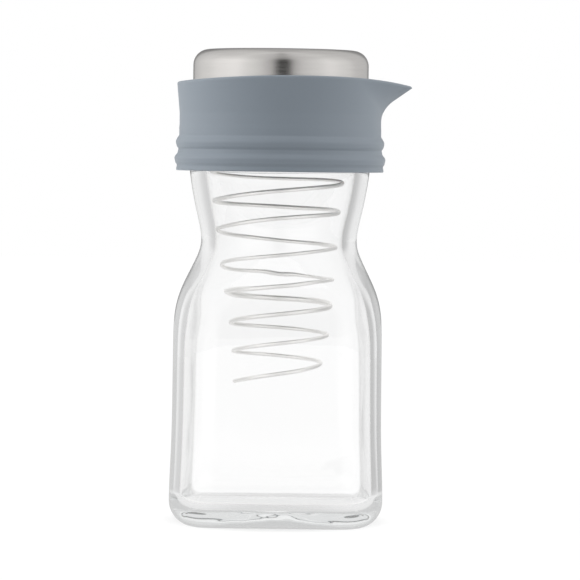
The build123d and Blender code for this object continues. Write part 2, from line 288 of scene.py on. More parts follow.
def makeSurfaceGrain():
    # cloudy differences in tone over a surface, and a finer grain on top
    tree = bpy.data.node_groups.new("surfaceGrain", "ShaderNodeTree")
    for name, kind in (("Vector", "NodeSocketVector"), ("Color", "NodeSocketColor"),
                       ("Roughness", "NodeSocketFloat"), ("Cloud Scale", "NodeSocketFloat"),
                       ("Grain Scale", "NodeSocketFloat"), ("Unevenness", "NodeSocketFloat")):
        tree.interface.new_socket(name, in_out="INPUT", socket_type=kind)
    for name, kind in (("Color", "NodeSocketColor"), ("Roughness", "NodeSocketFloat"), ("Height", "NodeSocketFloat")):
        tree.interface.new_socket(name, in_out="OUTPUT", socket_type=kind)
    link = tree.links.new
    entry = newNode(tree, "NodeGroupInput")
    leave = newNode(tree, "NodeGroupOutput")
    fields = []
    for scale, detail in (("Cloud Scale", grainMix["cloudDetail"]), ("Grain Scale", grainMix["grainDetail"])):
        noise = newNode(tree, "ShaderNodeTexNoise")
        noise.inputs["Detail"].default_value = detail
        link(entry.outputs["Vector"], noise.inputs["Vector"])
        link(entry.outputs[scale], noise.inputs["Scale"])
        fields.append(mathNode(tree, "SUBTRACT", noise.outputs[0], 0.5))
    cloud, grain = fields
    spread = mathNode(tree, "ADD", mathNode(tree, "MULTIPLY", cloud, grainMix["cloudShare"]),
                      mathNode(tree, "MULTIPLY", grain, grainMix["grainShare"]))
    uneven = mathNode(tree, "MULTIPLY", spread, entry.outputs["Unevenness"])
    shaded = newNode(tree, "ShaderNodeVectorMath", operation="SCALE")
    link(entry.outputs["Color"], shaded.inputs[0])
    link(mathNode(tree, "ADD", uneven, 1), shaded.inputs["Scale"])
    link(shaded.outputs[0], leave.inputs["Color"])
    link(mathNode(tree, "ADD", entry.outputs["Roughness"], uneven), leave.inputs["Roughness"])
    link(grain, leave.inputs["Height"])
    return tree


surfaceGrain = makeSurfaceGrain()


def addRelief(tree, shader, height, values):
    relief = newNode(tree, "ShaderNodeBump")
    relief.inputs["Strength"].default_value = values["relief"]
    relief.inputs["Distance"].default_value = values["reliefDepth"] * mm
    tree.links.new(height, relief.inputs["Height"])
    tree.links.new(relief.outputs["Normal"], shader.inputs["Normal"])


def addGrain(tree, shader, values):
    # values without a colour give the relief alone
    link = tree.links.new
    coords = newNode(tree, "ShaderNodeTexCoord")
    grain = newNode(tree, "ShaderNodeGroup")
    grain.node_tree = surfaceGrain
    link(coords.outputs["Object"], grain.inputs["Vector"])
    grain.inputs["Grain Scale"].default_value = values["grainScale"]
    if "color" in values:
        grain.inputs["Color"].default_value = (*values["color"], 1)
        grain.inputs["Roughness"].default_value = values["roughness"]
        grain.inputs["Cloud Scale"].default_value = values["cloudScale"]
        grain.inputs["Unevenness"].default_value = values["unevenness"]
        link(grain.outputs["Color"], shader.inputs["Base Color"])
        link(grain.outputs["Roughness"], shader.inputs["Roughness"])
    addRelief(tree, shader, grain.outputs["Height"], values)


glass = {
    "tint": (1.0, 1.0, 1.0),
    "roughness": 0.0,
    "ior": 1.5,
    "absorbColor": (0.80, 0.82, 0.82),
    "absorbDensity": 8.0,       # per metre
    "shadowTint": (0.93, 0.93, 0.93),
    "deepTurns": 2.5,           # after this many bounces a ray is let out
    "turned": 1.5,              # more inner reflections than this, and it comes out dimmer, as painted shade with a painted glow
    "clear": 0.995,             # share of its light that a ray keeps when it is let out
    "paintedDeepShade": 0.82,          # the same for a ray that comes out dimmer: painted shade
    "paintedDeepGlow": 0.08,           # painted glow: light that such a ray gains
    # painted shade: the tint darkens the more edge-on the surface is seen, so that edges look dark
    "outline": [(0.60, 1.0), (0.78, 0.88), (0.90, 0.55), (1.0, 0.20)],
    "ripple": {"grainScale": 45, "relief": 0.12, "reliefDepth": 0.3},
}


def clearGlass():
    material, tree, shader = startMaterial("clearBottleGlass")
    output = tree.nodes["Material Output"]
    link = tree.links.new
    # painted shade at edges seen edge-on, through the glass's base colour
    facing = newNode(tree, "ShaderNodeLayerWeight")
    facing.inputs["Blend"].default_value = 0.5
    ramp = newNode(tree, "ShaderNodeValToRGB")
    elements = ramp.color_ramp.elements
    while len(elements) < len(glass["outline"]):
        elements.new(0.5)
    for element, (place, level) in zip(elements, glass["outline"]):
        element.position = place
        element.color = (*[level * part for part in glass["tint"]], 1)
    link(facing.outputs["Facing"], ramp.inputs[0])
    link(ramp.outputs["Color"], shader.inputs["Base Color"])
    addGrain(tree, shader, glass["ripple"])
    shader.inputs["Roughness"].default_value = glass["roughness"]
    shader.inputs["IOR"].default_value = glass["ior"]
    shader.inputs["Transmission Weight"].default_value = 1.0
    clear = newNode(tree, "ShaderNodeBsdfTransparent")
    clear.inputs["Color"].default_value = (*glass["shadowTint"], 1)
    rays = newNode(tree, "ShaderNodeLightPath")
    mix = newNode(tree, "ShaderNodeMixShader")
    link(mathNode(tree, "MAXIMUM", rays.outputs["Is Shadow Ray"], rays.outputs["Is Diffuse Ray"]), mix.inputs[0])
    link(shader.outputs[0], mix.inputs[1])
    link(clear.outputs[0], mix.inputs[2])
    # passing through a surface counts as both kinds of bounce, an inner reflection as one
    inner = mathNode(tree, "SUBTRACT", rays.outputs["Glossy Depth"], rays.outputs["Transmission Depth"])
    # painted shade and painted glow for rays that have turned more than once inside the glass
    turned = mathNode(tree, "GREATER_THAN", inner, glass["turned"])
    opening = newNode(tree, "ShaderNodeBsdfTransparent")
    link(blendNode(tree, turned, glass["clear"], glass["paintedDeepShade"]), opening.inputs["Color"])
    glow = newNode(tree, "ShaderNodeEmission")
    glow.inputs["Color"].default_value = (1, 1, 1, 1)
    link(mathNode(tree, "MULTIPLY", turned, glass["paintedDeepGlow"]), glow.inputs["Strength"])
    escape = newNode(tree, "ShaderNodeAddShader")
    link(opening.outputs[0], escape.inputs[0])
    link(glow.outputs[0], escape.inputs[1])
    deep = newNode(tree, "ShaderNodeMixShader")
    link(mathNode(tree, "GREATER_THAN", rays.outputs["Glossy Depth"], glass["deepTurns"]), deep.inputs[0])
    link(mix.outputs[0], deep.inputs[1])
    link(escape.outputs[0], deep.inputs[2])
    link(deep.outputs[0], output.inputs["Surface"])
    absorb = newNode(tree, "ShaderNodeVolumeAbsorption")
    absorb.inputs["Color"].default_value = (*glass["absorbColor"], 1)
    absorb.inputs["Density"].default_value = glass["absorbDensity"]
    link(absorb.outputs[0], output.inputs["Volume"])
    return material


silicone = {
    "color": (0.227, 0.266, 0.308),
    "roughness": 0.58,
    "sheen": 0.22,
    "cloudScale": 38,           # per metre, as all scales here
    "grainScale": 1500,
    "unevenness": 0.10,
    "relief": 0.22,
    "reliefDepth": 0.05,        # mm
}


def softSilicone():
    material, tree, shader = startMaterial("blueGreySilicone")
    addGrain(tree, shader, silicone)
    shader.inputs["Sheen Weight"].default_value = silicone["sheen"]
    return material


capSteel = {
    "color": (0.71, 0.69, 0.67),
    "roughness": 0.20,
    "lines": 2400,              # brushed lines to a metre
    "broadLines": 420,
    "broadShare": 0.5,          # how much they count against the fine lines
    "around": 2.5,              # how often a line changes on its way round
    "toneSpread": 0.10,
    "roughSpread": 0.16,
    "relief": 0.10,
    "reliefDepth": 0.02,        # mm
}


def brushedSteel():
    # the cap was brushed while it turned, so its lines run round the axis, on the side and on the top
    material, tree, shader = startMaterial("brushedCapSteel")
    link = tree.links.new
    coords = newNode(tree, "ShaderNodeTexCoord")
    axes = newNode(tree, "ShaderNodeSeparateXYZ")
    link(coords.outputs["Object"], axes.inputs[0])
    flat = newNode(tree, "ShaderNodeCombineXYZ")
    link(axes.outputs["X"], flat.inputs["X"])
    link(axes.outputs["Y"], flat.inputs["Y"])
    length = newNode(tree, "ShaderNodeVectorMath", operation="LENGTH")
    link(flat.outputs[0], length.inputs[0])
    unit = newNode(tree, "ShaderNodeVectorMath", operation="NORMALIZE")
    link(flat.outputs[0], unit.inputs[0])
    around = newNode(tree, "ShaderNodeSeparateXYZ")
    link(unit.outputs[0], around.inputs[0])
    along = mathNode(tree, "SUBTRACT", length.outputs["Value"], axes.outputs["Z"])
    fields = []
    for lines in (capSteel["lines"], capSteel["broadLines"]):
        place = newNode(tree, "ShaderNodeCombineXYZ")
        link(mathNode(tree, "MULTIPLY", around.outputs["X"], capSteel["around"]), place.inputs["X"])
        link(mathNode(tree, "MULTIPLY", around.outputs["Y"], capSteel["around"]), place.inputs["Y"])
        link(mathNode(tree, "MULTIPLY", along, lines), place.inputs["Z"])
        noise = newNode(tree, "ShaderNodeTexNoise")
        noise.inputs["Scale"].default_value = 1
        noise.inputs["Detail"].default_value = 2
        link(place.outputs[0], noise.inputs["Vector"])
        fields.append(mathNode(tree, "SUBTRACT", noise.outputs[0], 0.5))
    spread = mathNode(tree, "ADD", fields[0], mathNode(tree, "MULTIPLY", fields[1], capSteel["broadShare"]))
    tone = mathNode(tree, "ADD", mathNode(tree, "MULTIPLY", spread, capSteel["toneSpread"]), 1)
    color = newNode(tree, "ShaderNodeVectorMath", operation="SCALE")
    color.inputs[0].default_value = capSteel["color"]
    link(tone, color.inputs["Scale"])
    link(color.outputs[0], shader.inputs["Base Color"])
    rough = mathNode(tree, "ADD", mathNode(tree, "MULTIPLY", spread, capSteel["roughSpread"]), capSteel["roughness"])
    link(rough, shader.inputs["Roughness"])
    addRelief(tree, shader, fields[0], capSteel)
    shader.inputs["Metallic"].default_value = 1.0
    return material


wireSteel = {
    "color": (0.98, 0.97, 0.95),
    "roughness": 0.36,
    "cloudScale": 90,
    "grainScale": 2600,
    "unevenness": 0.08,
    "relief": 0.10,
    "reliefDepth": 0.01,        # mm
}


def drawnWire():
    material, tree, shader = startMaterial("drawnWireSteel")
    addGrain(tree, shader, wireSteel)
    shader.inputs["Metallic"].default_value = 1.0
    return material


# the frame's own pieces, which the collar and the cap mostly hide
plastic = {
    "collar_insert": {"color": (0.80, 0.81, 0.81), "roughness": 0.42, "cloudScale": 60, "grainScale": 900,
                      "unevenness": 0.07, "relief": 0.15, "reliefDepth": 0.03, "scatter": 0.25,
                      "scatterDepth": 1.5},
    "coil_ring": {"color": (0.82, 0.83, 0.83), "roughness": 0.40, "cloudScale": 80, "grainScale": 1100,
                  "unevenness": 0.06, "relief": 0.12, "reliefDepth": 0.03, "scatter": 0.25, "scatterDepth": 1.2},
    "cap_liner": {"color": (0.78, 0.79, 0.79), "roughness": 0.45, "cloudScale": 70, "grainScale": 900,
                  "unevenness": 0.07, "relief": 0.15, "reliefDepth": 0.03, "scatter": 0.25, "scatterDepth": 1.5},
}
rubber = {
    "collar_gasket": {"color": (0.70, 0.71, 0.71), "roughness": 0.62, "cloudScale": 90, "grainScale": 1400,
                      "unevenness": 0.08, "relief": 0.20, "reliefDepth": 0.04, "sheen": 0.20},
    "cap_seal": {"color": (0.72, 0.73, 0.73), "roughness": 0.60, "cloudScale": 70, "grainScale": 1400,
                 "unevenness": 0.08, "relief": 0.20, "reliefDepth": 0.04, "sheen": 0.20},
}


def milkyPlastic(name, values):
    material, tree, shader = startMaterial(name)
    addGrain(tree, shader, values)
    shader.inputs["Subsurface Weight"].default_value = values["scatter"]
    shader.inputs["Subsurface Scale"].default_value = values["scatterDepth"] * mm
    return material


def paleRubber(name, values):
    material, tree, shader = startMaterial(name)
    addGrain(tree, shader, values)
    shader.inputs["Sheen Weight"].default_value = values["sheen"]
    return material


# shaping helpers, and the distance in metres within which points become one
weld = 2e-6


def deselectAll():
    if bpy.context.object and bpy.context.object.mode != "OBJECT":
        bpy.ops.object.mode_set(mode="OBJECT")
    bpy.ops.object.select_all(action="DESELECT")


def arcPoints(centre, radius, start, end, count):
    turns = [start + (end - start) * step / count for step in range(count + 1)]
    return [(centre[0] + radius * math.cos(math.radians(turn)), centre[1] + radius * math.sin(math.radians(turn)))
            for turn in turns]


def flowingLine(controls, perSpan):
    # a smooth line that keeps near its control points
    ends = [controls[0]] * 2 + list(controls) + [controls[-1]] * 2
    line = []
    for span in range(len(ends) - 3):
        a, b, c, d = ends[span:span + 4]
        for step in range(perSpan):
            t = step / perSpan
            weights = ((1 - t) ** 3 / 6, (3 * t ** 3 - 6 * t ** 2 + 4) / 6,
                       (-3 * t ** 3 + 3 * t ** 2 + 3 * t + 1) / 6, t ** 3 / 6)
            line.append(tuple(sum(w * p[k] for w, p in zip(weights, (a, b, c, d))) for k in (0, 1)))
    line.append(controls[-1])
    return line


def tidyLine(points, closest):
    kept = [points[0]]
    for point in points[1:]:
        if math.dist(point, kept[-1]) > closest:
            kept.append(point)
    return kept


def turnedSkin(name, points, steps, closed=False):
    # the profile stands in the XZ plane, in mm, and is spun once round the axis
    deselectAll()
    bpy.ops.mesh.primitive_circle_add(vertices=len(points), radius=0.01, fill_type="NOTHING", location=(0, 0, 0))
    piece = bpy.context.object
    piece.name = name
    piece.data.name = name
    for vertex, (radius, height) in zip(piece.data.vertices, points):
        vertex.co = (radius * mm, 0, height * mm)
    if not closed:
        last = len(points) - 1
        for edge in piece.data.edges:
            edge.select = set(edge.vertices) == {0, last}
        for vertex in piece.data.vertices:
            vertex.select = vertex.index in (0, last)
        bpy.ops.object.mode_set(mode="EDIT")
        bpy.ops.mesh.select_mode(type="EDGE")
        bpy.ops.mesh.delete(type="EDGE_FACE")
        bpy.ops.mesh.select_mode(type="VERT")
    else:
        bpy.ops.object.mode_set(mode="EDIT")
    bpy.ops.mesh.select_all(action="SELECT")
    bpy.ops.mesh.spin(steps=steps, angle=2 * math.pi, center=(0, 0, 0), axis=(0, 0, 1))
    bpy.ops.mesh.select_all(action="SELECT")
    bpy.ops.mesh.remove_doubles(threshold=weld)
    bpy.ops.object.mode_set(mode="OBJECT")
    return piece


def joinSkins(pieces, name):
    deselectAll()
    for piece in pieces:
        piece.select_set(True)
    bpy.context.view_layer.objects.active = pieces[0]
    if len(pieces) > 1:
        bpy.ops.object.join()
    whole = bpy.context.object
    whole.name = name
    whole.data.name = name
    bpy.ops.object.mode_set(mode="EDIT")
    bpy.ops.mesh.select_all(action="SELECT")
    bpy.ops.mesh.remove_doubles(threshold=weld)
    bpy.ops.mesh.normals_make_consistent(inside=False)
    bpy.ops.object.mode_set(mode="OBJECT")
    bpy.ops.object.shade_smooth()
    return whole


def easeBetween(value, low, high):
    t = min(max((value - low) / (high - low), 0), 1)
    return t ** 3 * (t * (6 * t - 15) + 10)


# glass bottle: a pressed square body, a waisted neck and a threaded finish
bottle = {
    "steps": 192,
    "cornerSoftness": 4.0,      # degrees over which a corner eases into the flat
    "shoulderHeight": 72.0,
    "waistHeight": 103.0,
    # each skin's square: corner radius over half width, and the height of the rounding at its foot. In there a
    # corner is never under leastCorner, and inwards of roundFrom the outline turns round, within roundOver
    "outerSquare": {"halfWidth": 38.9, "cornerShare": 0.40, "rounding": 9.5, "leastCorner": 5,
                    "roundFrom": 28.5, "roundOver": 6},
    "innerSquare": {"halfWidth": 35.2, "cornerShare": 0.335, "rounding": 15, "leastCorner": 4,
                    "roundFrom": 26, "roundOver": 16},
    # lines of half width and height
    "underside": [(0, 2.4), (6, 2.3), (12, 1.75), (18, 0.9), (21.5, 0.3), (23.5, 0.03), (25.5, 0), (29.4, 0)],
    "outside": [(38.9, 9.5), (38.88, 13), (38.65, 20), (38.35, 27), (38.12, 35), (38.05, 45), (38.03, 55),
                (38.0, 64), (37.95, 70), (37.85, 75), (37.35, 79.5), (36.35, 84), (34.8, 88), (32.75, 92.2),
                (30.7, 96.4), (29.15, 100), (28.6, 103.2), (28.85, 106.6), (29.75, 111), (30.85, 115.5),
                (31.75, 120), (32.45, 124), (33.0, 127.6), (33.2, 129.4)],
    "inside": [(26.6, 140), (26.9, 137), (27.5, 134), (28.0, 131), (27.65, 127.6), (27.05, 124), (26.35, 120),
               (25.4, 115.5), (24.35, 111), (23.55, 106.6), (23.4, 103.2), (23.95, 100), (25.4, 96.4),
               (27.3, 92.2), (29.4, 88), (31.1, 84), (32.4, 79.5), (33.3, 75), (33.85, 70), (34.15, 64),
               (34.3, 55), (34.35, 45), (34.45, 35), (34.65, 27), (34.95, 20), (35.15, 15), (35.2, 12.6)],
    "insideFloor": [(29, 7), (25, 6.8), (20, 6.65), (15, 6.7), (10, 7.1), (4, 7.4), (0, 7.4)],
    "floorCorner": 5.6,
    "floorHeight": 7.0,
    # the bead under the finish: its rim, how far its upper face runs in and up, and where it meets the finish
    "beadRim": (33.2, 129.45),
    "beadFace": (3.6, 1.5),
    "beadFoot": [(29.5, 131.05), (29.4, 131.4)],
    "finishRadius": 29.4,
    "finishStart": 131.4,
    "finishRows": 38,
    "finishRowHeight": 0.45,
    "boreRadius": 26.6,
    "boreRows": (146, 143, 140.5),
    "lipRound": 0.8,
    "mouthHeight": 149.5,
    # three starts: heights that they keep within, degrees of their fade at each end, half widths of crest and foot
    "thread": {"starts": 3, "start": 135.4, "turn": 220.0, "lead": 12.0, "height": 1.2,
               "zone": (133, 146), "fade": (-8, 4), "flank": (0.45, 1.15)},
    # waves in the glass: skin, size and depth in mm, and the heights between which they come in
    "waves": [("bottleOutside", 45, 0.14, (3, 22)), ("bottleInside", 34, 0.34, (-1, 0)),
              ("bottleInside", 9, 0.16, (13, 8))],
}


def squareReach(turn, share):
    # distance to the outline of a unit square with rounded corners, along a direction in degrees
    fold = abs((turn + 45) % 90 - 45)
    if math.tan(math.radians(fold)) <= 1 - share:
        return 1 / math.cos(math.radians(fold))
    diagonal = (1 - share) * math.sqrt(2)
    off = math.radians(45 - fold)
    return diagonal * math.cos(off) + math.sqrt(max(share ** 2 - (diagonal * math.sin(off)) ** 2, 0))


def softReach(turn, share, softness):
    shifts = (-1, -0.6, -0.2, 0.2, 0.6, 1)
    return sum(squareReach(turn + softness * shift, share) for shift in shifts) / len(shifts)


def cornerShareAt(radius, height, square):
    share = square["cornerShare"]
    share += (1 - share) * easeBetween(height, bottle["shoulderHeight"], bottle["waistHeight"])
    if height < square["rounding"]:
        inset = square["halfWidth"] - radius
        corner = square["halfWidth"] * square["cornerShare"] - inset
        share = max(corner, square["leastCorner"]) / max(radius, 1)
        share += (1 - share) * easeBetween(square["roundFrom"] - radius, 0, square["roundOver"])
    return min(share, 1)


def squareUp(skin, square):
    rings = {}
    for vertex in skin.data.vertices:
        radius = math.hypot(vertex.co.x, vertex.co.y) / mm
        if radius < 0.05:
            continue
        height = vertex.co.z / mm
        turn = math.degrees(math.atan2(vertex.co.y, vertex.co.x))
        key = (round(radius, 3), round(height, 3), round(turn % 90, 2))
        if key not in rings:
            share = cornerShareAt(radius, height, square)
            rings[key] = 1 if share > 0.999 else softReach(turn, share, bottle["cornerSoftness"])
        vertex.co.x *= rings[key]
        vertex.co.y *= rings[key]


def raiseThread(skin):
    # each start is a ridge that fades in and out at its ends
    thread = bottle["thread"]
    lowest, highest = thread["zone"]
    before, after = thread["fade"]
    for vertex in skin.data.vertices:
        height = vertex.co.z / mm
        radius = math.hypot(vertex.co.x, vertex.co.y) / mm
        if not lowest < height < highest or radius < bottle["finishRadius"] - 0.2:
            continue
        turn = math.degrees(math.atan2(vertex.co.y, vertex.co.x)) % 360
        lift = 0
        for start in range(0, 360, 360 // thread["starts"]):
            along = (turn - start) % 360
            for lap in (along, along - 360):
                if before < lap < thread["turn"] - before:
                    off = abs(height - thread["start"] - thread["lead"] * lap / 360)
                    ends = easeBetween(lap, before, after) * easeBetween(thread["turn"] - lap, before, after)
                    lift = max(lift, ends * (1 - easeBetween(off, *thread["flank"])))
        vertex.co.x *= 1 + lift * thread["height"] / radius
        vertex.co.y *= 1 + lift * thread["height"] / radius


def addWaves(skin):
    # pressed glass is never quite even, least of all its floor, but the base stays flat to stand on
    for name, size, depth, heights in bottle["waves"]:
        if name != skin.name:
            continue
        clouds = bpy.data.textures.new(skin.name + "Waves", "CLOUDS")
        clouds.noise_scale = size * mm
        clouds.noise_depth = 1
        share = skin.vertex_groups.new(name="waveShare")
        for vertex in skin.data.vertices:
            share.add([vertex.index], easeBetween(vertex.co.z / mm, *heights), "REPLACE")
        waves = skin.modifiers.new("waves", "DISPLACE")
        waves.texture = clouds
        waves.strength = depth * mm
        waves.mid_level = 0.5
        waves.vertex_group = share.name
        deselectAll()
        skin.select_set(True)
        bpy.context.view_layer.objects.active = skin
        bpy.ops.object.modifier_apply(modifier=waves.name)
        skin.vertex_groups.clear()


def makeBottle():
    outer, inner = bottle["outerSquare"], bottle["innerSquare"]
    top, lip = bottle["mouthHeight"], bottle["lipRound"]
    finish, bore = bottle["finishRadius"], bottle["boreRadius"]
    heel, corner = outer["rounding"], bottle["floorCorner"]
    rim, rimHeight = bottle["beadRim"]
    faceWidth, faceHeight = bottle["beadFace"]
    lipMiddle = ((finish + bore) / 2, top)      # where the two skins meet
    outside = flowingLine(bottle["underside"], 3)
    outside += arcPoints((outer["halfWidth"] - heel, heel), heel, -90, 0, 18)
    outside += flowingLine(bottle["outside"], 4)
    outside += [(rim - faceWidth * step / 8, rimHeight + faceHeight * step / 8) for step in range(1, 8)]
    outside += bottle["beadFoot"]
    outside += [(finish, bottle["finishStart"] + bottle["finishRowHeight"] * (row + 1))
                for row in range(bottle["finishRows"])]
    outside += arcPoints((finish - lip, top - lip), lip, 0, 90, 6) + [lipMiddle]
    inside = [lipMiddle, (bore + lip, top)] + arcPoints((bore + lip, top - lip), lip, 90, 180, 6)
    inside += [(bore, height) for height in bottle["boreRows"]]
    inside += flowingLine(bottle["inside"], 4)
    inside += arcPoints((inner["halfWidth"] - corner, bottle["floorHeight"] + corner), corner, 0, -90, 14)
    inside += flowingLine(bottle["insideFloor"], 3)
    outerSkin = turnedSkin("bottleOutside", tidyLine(outside, 0.02), bottle["steps"])
    squareUp(outerSkin, outer)
    raiseThread(outerSkin)
    addWaves(outerSkin)
    innerSkin = turnedSkin("bottleInside", tidyLine(inside, 0.02), bottle["steps"])
    squareUp(innerSkin, inner)
    addWaves(innerSkin)
    return joinSkins([outerSkin, innerSkin], "smoothBottle")


# soft collar: a ribbed skin, a cup with an arched rim and a beak
collar = {
    "steps": 240,
    "crowding": 0.72,           # how much closer the columns stand round the beak
    # lines of radius and height
    "foot": [(33.5, 131.6), (33.5, 129.9), (33.6, 129.5), (33.9, 129.3), (36, 129.3)],
    "skin": [(37.9, 129.3), (38.25, 129.35), (38.3, 129.8), (38.24, 130.4), (38.06, 130.9), (38.06, 131.2),
             (38.2, 131.7), (38.64, 132.05), (38.66, 132.6), (38.86, 133.2), (38.97, 133.8), (38.92, 134.3),
             (38.55, 134.9), (38.02, 135.45), (37.75, 136.0), (37.7, 136.6), (37.5, 137.1), (37.6, 137.5),
             (38.08, 137.95), (38.22, 138.6), (38.42, 139.2), (38.5, 139.8), (38.42, 140.4), (38.05, 141.1),
             (37.6, 141.8), (37.25, 142.25), (37.28, 142.9), (37.28, 145)],
    "wallRadius": 37.2,
    "wallFoot": (146, 147),     # heights of the rows under the beak
    "wallRows": 26,
    "flareStart": 150.5,
    "flareSlope": 0.09,
    "rimHeight": 164.0,
    "rimMiddle": 5.0,
    "rimLeft": (42.7, 2.0, 1.8),      # how far the left end is, how far the rim falls to it, and how late
    "rimRight": (43.3, 2.5, 3.2),
    "rimRound": 0.8,
    "tipRound": 0.8,
    "cupFloor": 156.25,
    "cupFloorRadius": 34.3,
    "cupFlare": 1.7,
    "cupRows": 12,
    "cupBendHeight": 0.9,       # above the floor, where the cup's wall bends into it
    "cupBend": [(34.1, 0.45), (33.8, 0.12), (33.3, 0), (31, 0)],     # heights above the floor
    "cupFlat": 31,              # radius inside which the floor doesn't follow the beak
    "holeEdge": [(29.2, 0), (28.45, -0.5)],      # heights above the floor
    "bore": [(28.45, 154.3), (33.25, 154.25), (33.25, 131.7)],
    "beakStart": 147.7,
    "beakCurve": 10.0,
    "beakSlope": 37.0,
    "beakTip": 1.5,
    "beakWall": 1.8,
    "beakEase": 3.0,            # degrees over which the beak flows into the wall
}


def beakReach(rise):
    slope = math.radians(collar["beakSlope"])
    curve = collar["beakCurve"]
    knee = curve * math.cos(slope)
    if rise <= 0:
        return 0
    if rise < knee:
        return curve - math.sqrt(curve ** 2 - rise ** 2)
    return curve * (1 - math.sin(slope)) + (rise - knee) / math.tan(slope)


def beakOutline(turn, wall, tip, reach):
    # a circle of the wall's radius and a small circle at the tip, joined by two straight sides
    centre = reach - tip
    if centre <= wall - tip + 0.01:
        return wall
    side = math.acos((wall - tip) / centre)
    turn = abs((math.radians(turn) + math.pi) % (2 * math.pi) - math.pi)
    tipTurn = math.atan2(tip * math.sin(side), centre + tip * math.cos(side))
    if turn >= side:
        return wall
    if turn >= tipTurn:
        return wall / math.cos(side - turn)
    return centre * math.cos(turn) + math.sqrt(max(tip ** 2 - (centre * math.sin(turn)) ** 2, 0))


def collarWall(height):
    return collar["wallRadius"] + collar["flareSlope"] * max(height - collar["flareStart"], 0)


def outerReach(turn, height):
    wall = collarWall(height)
    return beakOutline(turn, wall, collar["beakTip"], wall + beakReach(height - collar["beakStart"]))


def innerReach(turn, height):
    # the cup, or the channel in the beak where that reaches further
    cupDepth = collar["rimHeight"] - collar["cupFloor"]
    cup = collar["cupFloorRadius"] + collar["cupFlare"] * (height - collar["cupFloor"]) / cupDepth
    inset = collar["beakWall"]
    wall = collarWall(height - inset)
    channel = wall + beakReach(height - inset - collar["beakStart"]) - inset
    return max(cup, beakOutline(turn, wall - inset, collar["beakTip"] / 2, channel))


def eased(reach, turn, height):
    # eased less towards the tip, so that the beak keeps its edge
    around = abs((turn + 180) % 360 - 180)
    ease = collar["beakEase"] * min(max((around - 2) / 16, 0.03), 1)
    shifts = (-1, -0.5, 0, 0.5, 1)
    return sum(reach(turn + ease * shift, height) for shift in shifts) / len(shifts)


def rimHeightAt(turn):
    # the rim falls with the distance to the side, which depends on its height
    height = collar["rimHeight"]
    for _ in range(4):
        x = outerReach(turn, height) * math.cos(math.radians(turn))
        away, fall, late = collar["rimRight"] if x > collar["rimMiddle"] else collar["rimLeft"]
        height = collar["rimHeight"] - fall * (abs(x - collar["rimMiddle"]) / away) ** late
    return height


def rimRoundAt(turn):
    around = abs((turn + 180) % 360 - 180)
    return collar["tipRound"] + (collar["rimRound"] - collar["tipRound"]) * easeBetween(around, 2, 22)


def makeCollar():
    floorHeight, start = collar["cupFloor"], collar["beakStart"]
    bendHeight, flat = collar["cupBendHeight"], collar["cupFlat"]
    wallRows, cupRows = collar["wallRows"], collar["cupRows"]
    rows = [("fixed", point) for point in collar["foot"] + tidyLine(flowingLine(collar["skin"], 3), 0.05)]
    rows += [("fixed", (collar["wallRadius"], height)) for height in collar["wallFoot"]]
    rows += [("outer", step / wallRows) for step in range(wallRows + 1)]
    rows += [("rimOut", turn) for turn in (25, 50, 75)] + [("rimIn", turn) for turn in (75, 50, 25, 0)]
    rows += [("inner", step / cupRows) for step in range(1, cupRows)]
    rows += [("floor", point) for point in collar["cupBend"]]
    rows += [("fixed", (radius, floorHeight + height)) for radius, height in collar["holeEdge"]]
    rows += [("fixed", point) for point in collar["bore"]]
    # each row first gets a radius of its own, so that its points are known again after the spin
    firstMark, markStep = 20, 0.1
    marks = [(firstMark + markStep * index, 150) for index in range(len(rows))]
    piece = turnedSkin("beakCollar", marks, collar["steps"], closed=True)
    rims = {}
    for vertex in piece.data.vertices:
        index = round((math.hypot(vertex.co.x, vertex.co.y) / mm - firstMark) / markStep)
        even = math.atan2(vertex.co.y, vertex.co.x)
        turn = math.degrees(even - collar["crowding"] * math.sin(even))
        key = round(turn, 3)
        if key not in rims:
            rims[key] = rimHeightAt(turn)
        rim, edge = rims[key], rimRoundAt(turn)
        kind, value = rows[index]
        if kind == "fixed":
            radius, height = value
        elif kind == "outer":
            height = start + (rim - edge - start) * value
            radius = eased(outerReach, turn, height)
        elif kind == "rimOut":
            height = rim - edge * (1 - math.sin(math.radians(value)))
            radius = eased(outerReach, turn, rim - edge) - edge * (1 - math.cos(math.radians(value)))
        elif kind == "rimIn":
            height = rim - edge * (1 - math.sin(math.radians(value)))
            radius = eased(innerReach, turn, rim - edge) + edge * (1 - math.cos(math.radians(value)))
        elif kind == "inner":
            height = rim - edge + (floorHeight + bendHeight - rim + edge) * value
            radius = eased(innerReach, turn, height)
        else:
            share = (value[0] - flat) / (collar["cupFloorRadius"] - flat)
            radius = value[0] + share * (eased(innerReach, turn, floorHeight + 0.1) - collar["cupFloorRadius"])
            height = floorHeight + value[1]
        bearing = math.radians(turn)
        vertex.co = (radius * mm * math.cos(bearing), radius * mm * math.sin(bearing), height * mm)
    return joinSkins([piece], "beakCollar")


# steel cap: a drawn cup with a broad rounded shoulder
capShell = {
    "steps": 192,
    "radius": 32.35,
    "bottom": 157.0,
    "top": 173.95,
    "shoulder": 5.7,
    "sheet": 0.5,
    "topRings": (0, 3, 7, 12, 17, 21, 24.5),
    "sideRows": (165, 162, 159.5),
}


def makeCapShell():
    radius, top, corner, sheet = capShell["radius"], capShell["top"], capShell["shoulder"], capShell["sheet"]
    edge = sheet / 2
    profile = [(ring, top) for ring in capShell["topRings"]]
    profile += arcPoints((radius - corner, top - corner), corner, 90, 0, 16)
    profile += [(radius, height) for height in capShell["sideRows"]]
    profile += arcPoints((radius - edge, capShell["bottom"] + edge), edge, 0, -180, 6)
    profile += [(radius - sheet, height) for height in reversed(capShell["sideRows"])]
    profile += arcPoints((radius - corner, top - corner), corner - sheet, 0, 90, 12)
    profile += [(ring, top - sheet) for ring in reversed(capShell["topRings"])]
    return joinSkins([turnedSkin("satinCap", profile, capShell["steps"])], "satinCap")


